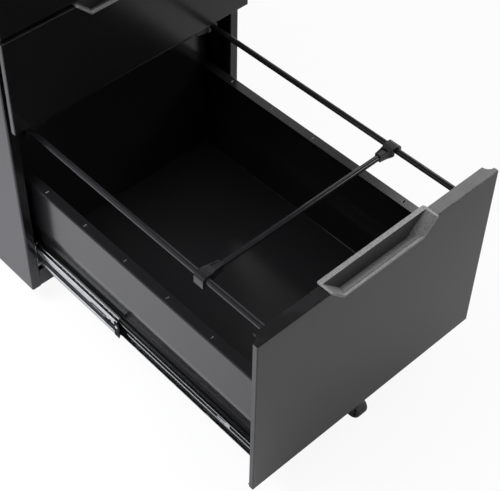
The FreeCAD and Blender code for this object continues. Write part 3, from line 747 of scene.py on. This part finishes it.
def add_strip(mesh, section, edge, sign, height, front, back):
    """Rolled strip along Y: its section stands off the case's edge, inwards, on the side of sign."""
    layer = mesh.faces.layers.float.get("race") or mesh.faces.layers.float.new("race")
    rows = []
    for y in (front, back):
        for skin in (0, 1):
            points = [(sign * (edge - row[skin].x), y, height + row[skin].y) for row in section]
            rows.append([mesh.verts.new(point) for point in points])
    outer_front, inner_front, outer_back, inner_back = rows
    for i, row in enumerate(section[:-1]):
        j = i + 1
        skins = (mesh.faces.new((outer_front[i], outer_front[j], outer_back[j], outer_back[i])),
                 mesh.faces.new((inner_front[i], inner_back[i], inner_back[j], inner_front[j])))
        for skin in skins:
            skin[layer] = float(row[2])
        mesh.faces.new((outer_front[i], inner_front[i], inner_front[j], outer_front[j]))
        mesh.faces.new((outer_back[i], outer_back[j], inner_back[j], inner_back[i]))
    for i in (0, -1):
        mesh.faces.new((outer_front[i], outer_back[i], inner_back[i], inner_front[i]))


def add_slot(mesh, edge, sign, y, z, length, height, depth):
    """Cutter for a round-ended slot through a slide's web."""
    radius = height / 2
    x = sign * (edge + depth)
    corners = []
    for middle, start in ((y + length / 2 - radius, -0.5), (y - length / 2 + radius, 0.5)):
        for k in range(9):
            angle = math.pi * (start + k / 8)
            corners.append((x, middle + radius * math.cos(angle), z + radius * math.sin(angle)))
    prism(mesh, corners, (-sign * 3 * depth, 0, 0))


def make_members(name, size):
    """The three rolled members of a drawer's two slides."""
    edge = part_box("file_slide_outer")[1].x
    bodies = {"outer": "case", "mid": f"{name}_slide", "inner": f"{name}_drawer"}
    for member, body in bodies.items():
        low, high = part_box(f"{name}_slide_{member}")
        height = (low.z + high.z) / 2
        near = edge - high.x
        path = member_path(member, near, (high.z - low.z) / 2, size)
        section = strip_section(path, size.slide_sheet, SLIDE_BENDS[member])
        web = high.x - (size.inner_reach if member == "inner" else 0)
        mesh = bmesh.new()
        cutter = bmesh.new()
        for sign in (-1, 1):
            add_strip(mesh, section, edge, sign, height, low.y, high.y)
            for y, z, length, tall in SLIDE_SLOTS[member]:
                place = (low.y + y * MM, height + z * MM, length * MM, tall * MM)
                add_slot(cutter, web, sign, *place, SLOT_CUT)
        made = piece(f"{name}_rolled_{member}", mesh, body, "slide_zinc", [f"{name}_slide_{member}"])
        carved(made, cutter)


def member_path(member, near, half, size):
    """Corners of a member's section in order, each with how darkened the strip is from there on."""
    if member == "outer":
        far, lip = near + size.outer_reach, half - size.outer_lip
        return [(far, lip, False), (far, half, True), (near, half, False), (near, -half, True),
                (far, -half, False), (far, -lip, False)]
    if member == "mid":
        far, lip = near + size.mid_reach, half - size.mid_lip
        brow = (near + 3.9 * MM, 16.6 * MM)
        groove = (near + 3.6 * MM, 14.4 * MM)
        shoulder = (near, 13.2 * MM)
        track = near + 0.8 * MM
        upper, lower = 2.6 * MM, -10.9 * MM
        bead = ((upper + lower) / 2 + 0.5 * MM, (upper + lower) / 2 - 0.5 * MM)
        return [(far, lip, False), (far, half, False), (*brow, 0.88), (*groove, True), (*shoulder, False),
                (near, upper, False), (track, upper - 0.6 * MM, True), (track, bead[0], 0.8),
                (track, bead[1], True), (track, lower + 0.4 * MM, True), (near, lower, False),
                (near, -half, False), (far, -half, False), (far, -lip, False)]
    web = near + size.inner_reach
    groove = (near + 1.2 * MM, near + 2.8 * MM)
    bead = (2.6 * MM, 3.6 * MM)
    return [(near, -half, False), (groove[0], -half, True), (groove[1], -half, False), (web, -half, True),
            (web, -bead[1], 0.6), (web, -bead[0], True), (web, half, False), (groove[1], half, True),
            (groove[0], half, False), (near, half, False)]


def make_cages(name, size):
    """Ball cages: a thin strip with its row of balls, above and below the middle member's flanges."""
    low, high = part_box(f"{name}_slide_mid")
    height = (low.z + high.z) / 2
    half = (high.z - low.z) / 2
    radius = size.ball / 2
    place = high.x - size.mid_reach / 2
    rows = [(half + radius, high.y - OUTER_ROW_BACK),
            (half - size.slide_sheet - radius, low.y + INNER_ROW_FRONT)]
    corners = ((-CAGE_WIDTH, -CAGE_THICK), (CAGE_WIDTH, -CAGE_THICK), (CAGE_WIDTH, CAGE_THICK),
               (-CAGE_WIDTH, CAGE_THICK))
    mesh = bmesh.new()
    for sign in (-1, 1):
        for lift, front in rows:
            for z in (height + lift, height - lift):
                section = [(sign * place + across, front, z + above) for across, above in corners]
                prism(mesh, section, (0, CAGE_LENGTH, 0))
                for k in range(int(CAGE_LENGTH / size.ball_pitch)):
                    spot = Matrix.Translation((sign * place, front + (k + 0.5) * size.ball_pitch, z))
                    bmesh.ops.create_icosphere(mesh, subdivisions=2, radius=radius, matrix=spot)
    piece(f"{name}_ball_cages", mesh, f"{name}_slide", "cage_steel", [f"{name}_slide_cages"])


def add_plate(mesh, outline, x, sign, front, height, thick):
    """Plate on the side of sign, from its outer face at x inwards, with an outline in millimetres."""
    corners = [(sign * x, front + y * MM, height + z * MM) for y, z in outline]
    prism(mesh, corners, (-sign * thick, 0, 0))


def make_stops(name, size):
    """Darkened stop on the front of the middle member, its rivets, and the lug on the drawer's member."""
    low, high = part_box(f"{name}_slide_mid")
    height = (low.z + high.z) / 2
    front = low.y
    face = high.x + 0.6 * MM
    stops = bmesh.new()
    rivets = bmesh.new()
    for sign in (-1, 1):
        add_plate(stops, STOP_PLATE, face, sign, front, height, 2.0 * MM)
        domed(rivets, (sign * face, front + 1.6 * MM, height + 2.0 * MM), (sign, 0, 0), *STOP_RIVET)
        add_plate(rivets, SLOT_RIM, high.x - 0.5 * MM, sign, front, height, 0.5 * MM)
        add_plate(stops, STOP_TAIL, high.x - 1.6 * MM, sign, front, height, 0.8 * MM)
    stop_darkening = stops.faces.layers.float.new("race")
    for side in stops.faces:
        side[stop_darkening] = 1.0
    piece(f"{name}_slide_stops", eased(stops, size.stop_ease), f"{name}_slide", "slide_zinc")
    low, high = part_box(f"{name}_slide_inner")
    web = high.x - size.inner_reach + size.slide_sheet
    lugs = bmesh.new()
    for sign in (-1, 1):
        add_plate(lugs, SLIDE_LUG, high.x - 1.0 * MM, sign, low.y, height, size.inner_reach - 1.6 * MM)
        for y in SLIDE_SCREWS:
            domed(lugs, (sign * web, low.y + y * MM, height), (sign, 0, 0), *SCREW_HEAD)
    piece(f"{name}_stop_rivets", rivets, f"{name}_slide", "slide_zinc")
    piece(f"{name}_slide_lugs", eased(lugs, size.lug_ease), f"{name}_drawer", "slide_zinc")


class MakeCasters(Operator):
    """Caster forks, plates with their bolts, and turned wheels"""
    bl_idname = "cabinet.make_casters"
    bl_label = "Make the casters"

    def execute(self, context):
        ease = context.scene.cabinet_details.caster_ease
        plates = eased(copied("caster_plates"), ease)
        for where, side in CORNERS:
            fork, wheel = f"caster_fork_{where}_{side}", f"caster_wheel_{where}_{side}"
            mesh = eased(copied(fork), ease)
            low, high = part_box(fork)
            reach = (high.x - low.x) / 2
            for sign in (-1, 1):
                domed(mesh, middle_of(wheel) + Vector((sign * reach, 0, 0)), (sign, 0, 0), *FORK_RIVET)
            made = piece(f"pressed_fork_{where}_{side}", mesh, f"{where}_{side}_caster", "caster_steel",
                         [fork])
            keep_flat(made)
            make_wheel(f"turned_wheel_{where}_{side}", wheel, f"{where}_{side}_roller")
        low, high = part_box("caster_plates")
        for x in (low.x + PLATE_HALF, high.x - PLATE_HALF):
            for y in (low.y + PLATE_HALF, high.y - PLATE_HALF):
                for dx, dy in ((-1, -1), (1, -1), (1, 1), (-1, 1)):
                    add_bolt(plates, Vector((x + dx * BOLT_REACH, y + dy * BOLT_REACH, low.z)), *BOLT_HEAD)
        made = piece("bolted_plates", plates, "case", "caster_steel", ["caster_plates"])
        keep_flat(made)
        return {"FINISHED"}


def make_wheel(name, node, body):
    """Turned wheel in place of a node, which rolls with a body."""
    low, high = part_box(node)
    mesh = bmesh.new()
    turned(mesh, wheel_profile((high.x - low.x) / 2, (high.z - low.z) / 2), middle_of(node))
    piece(name, mesh, body, "wheel_black", [node])


def wheel_profile(half, radius):
    """Closed section of a wheel with round shoulders, a rim and a hub set off by a hollow web."""
    side = [(half, WHEEL_BORE)] + [(half - inset * MM, share * radius) for inset, share in WHEEL_SIDE]
    return side + [(-along, reach) for along, reach in reversed(side)]


def add_bolt(mesh, place, radius, height):
    """Hexagon head under a plate, with its washer face."""
    for share, low, high, corners in ((1.15, 0.0, 0.2, 24), (1.0, 0.2, 1.0, 6)):
        reach = radius * share
        ring = [place + Vector((reach * c, reach * s, -height * low)) for c, s in circle(corners)]
        prism(mesh, ring, (0, 0, -height * (high - low)))


class MakeAntiTip(Operator):
    """Anti-tip wheel under the file drawer's front"""
    bl_idname = "cabinet.make_anti_tip"
    bl_label = "Make the anti-tip wheel"

    def execute(self, context):
        make_wheel("turned_anti_tip_wheel", "anti_tip_wheel", "anti_tip_roller")
        return {"FINISHED"}


class MakeStage(Operator):
    """Floor, world, lamps and camera"""
    bl_idname = "cabinet.make_stage"
    bl_label = "Make the stage"

    def execute(self, context):
        scene = context.scene
        scene.view_settings.view_transform = "Standard"
        make_floor()
        make_ceiling()
        make_world(scene)
        make_lamps()
        make_camera(scene)
        return {"FINISHED"}


def seen_rays(sheet, by_camera, by_mirrors):
    """Share for rays from the camera or through glass, a second one for mirrored rays, and 0 for the rest."""
    camera, mirrored, through = (sheet.node("ShaderNodeLightPath", output=name)
                                 for name in ("Is Camera Ray", "Is Glossy Ray", "Is Transmission Ray"))
    return camera.above(through) * by_camera + mirrored * by_mirrors


def stage_sheet(name, half, height):
    """Level square of the stage."""
    mesh = bmesh.new()
    bmesh.ops.create_grid(mesh, x_segments=1, y_segments=1, size=half)
    data = bpy.data.meshes.new(name)
    mesh.to_mesh(data)
    mesh.free()
    made = bpy.data.objects.new(name, data)
    made.location.z = height
    bpy.context.scene.collection.objects.link(made)
    return made


def make_ceiling():
    """Dark ceiling of the studio: level faces mirror it, and no camera sees it."""
    ceiling = stage_sheet("ceiling", half=4.0, height=2.7)
    ceiling.location.y = -2.8
    sheet = NodeSheet(bpy.data.materials.new("ceiling_dark"))
    dark = sheet.node("ShaderNodeBsdfDiffuse", None, {"Color": (0.15, 0.15, 0.15, 1)})
    sheet.node("ShaderNodeOutputMaterial", None, {"Surface": dark})
    ceiling.data.materials.append(sheet.owner)
    ceiling.visible_camera = False


def make_floor():
    """White floor that keeps a pale shadow."""
    floor = stage_sheet("floor", half=14.0, height=0.0)
    sheet = NodeSheet(bpy.data.materials.new("floor_white"))
    lit = sheet.node("ShaderNodeBsdfDiffuse", None, {"Color": (0.55, 0.55, 0.55, 1)})
    bright = sheet.node("ShaderNodeEmission", None, {"Color": (1, 1, 1, 1), "Strength": 1.0})
    mixed = sheet.node("ShaderNodeMixShader", None, {0: seen_rays(sheet, 0.92, 0.1), 1: lit, 2: bright})
    sheet.node("ShaderNodeOutputMaterial", None, {"Surface": mixed})
    floor.data.materials.append(sheet.owner)


def make_world(scene):
    """White surroundings for the camera and for mirrors, and a softer fill for what they light."""
    world = bpy.data.worlds.new("studio")
    scene.world = world
    sheet = NodeSheet(world)
    strength = seen_rays(sheet, 0.5, 0.5) + 0.5
    light = sheet.node("ShaderNodeBackground", None, {"Color": (1, 1, 1, 1), "Strength": strength})
    sheet.node("ShaderNodeOutputWorld", None, {"Surface": light})


def make_lamps():
    """Soft boxes: overhead, to the right behind and in front, and one over the floor at the left."""
    overhead = add_lamp("overhead", place=(0.2, -0.6, 2.3), target=(0.0, -0.5, 0.3),
                        size=(2.0, 2.0), power=34)
    overhead.visible_glossy = False
    add_lamp("rear_right", place=(1.749, -0.31, 1.789), target=(0.19, -0.69, 0.254),
             size=(1.48, 0.925), power=21)
    add_lamp("front_right", place=(1.8, -2.26, 1.64), target=(0.1, -0.7, 0.33), size=(0.7, 0.7), power=16)
    left = add_lamp("left", place=(-1.1, -0.1, 1.6), target=(-0.75, -0.24, 0.0), size=(0.8, 0.8), power=14)
    left.visible_glossy = False
    left.data.spread = math.radians(60)
    left.data.color = (0.96, 0.96, 1.03)


def add_lamp(name, place, target, size, power):
    """Rectangular soft box aimed at a point."""
    lamp = bpy.data.lights.new(name, "AREA")
    lamp.shape = "RECTANGLE"
    lamp.size, lamp.size_y = size
    lamp.energy = power
    holder = bpy.data.objects.new(name, lamp)
    holder.location = place
    holder.rotation_euler = (Vector(target) - Vector(place)).to_track_quat("-Z", "Y").to_euler()
    bpy.context.scene.collection.objects.link(holder)
    return holder


def make_camera(scene):
    """Camera of the main picture."""
    view = scene.cabinet_view
    ahead = Vector((math.sin(view.heading) * math.cos(view.dip),
                    math.cos(view.heading) * math.cos(view.dip), -math.sin(view.dip)))
    level = Vector((math.cos(view.heading), -math.sin(view.heading), 0))
    up = level.cross(ahead)
    right = level * math.cos(view.roll) + up * math.sin(view.roll)
    up = right.cross(ahead)
    data = bpy.data.cameras.new("main_view")
    data.lens = view.lens
    data.shift_x = view.shift_right
    data.shift_y = view.shift_up
    camera = bpy.data.objects.new("main_view", data)
    turn = Matrix((right, up, -ahead)).transposed().to_4x4()
    camera.matrix_world = Matrix.Translation(Vector(view.eye)) @ turn
    scene.collection.objects.link(camera)
    scene.camera = camera


class CabinetPanel(Panel):
    """Sidebar panel with the cabinet's settings and steps"""
    bl_idname = "VIEW3D_PT_cabinet"
    bl_label = "Filing cabinet"
    bl_space_type = "VIEW_3D"
    bl_region_type = "UI"
    bl_category = "Cabinet"

    def draw(self, context):
        layout = self.layout
        for group in (getattr(context.scene, name) for name in GROUPS):
            box = layout.box()
            for name in group.bl_rna.properties.keys():
                if name not in ("rna_type", "name"):
                    box.prop(group, name)
        for step in STEPS:
            layout.operator(step.bl_idname)


STEPS = (DressSheets, MakePulls, MakeHangingFrame, MakeSlides, MakeCasters, MakeAntiTip, MakeStage)
GROUPS = {"cabinet_finishes": CabinetFinishes, "cabinet_details": CabinetDetails,
          "cabinet_view": CabinetView}


def register():
    for group in GROUPS.values():
        bpy.utils.register_class(group)
    for name, group in GROUPS.items():
        setattr(bpy.types.Scene, name, PointerProperty(type=group))
    for step in STEPS + (CabinetPanel,):
        bpy.utils.register_class(step)


def unregister():
    for step in STEPS + (CabinetPanel,):
        bpy.utils.unregister_class(step)
    for name, group in GROUPS.items():
        delattr(bpy.types.Scene, name)
        bpy.utils.unregister_class(group)


def main():
    register()
    for step in STEPS:
        group, name = step.bl_idname.split(".")
        getattr(getattr(bpy.ops, group), name)()


if __name__ == "__main__":
    main()
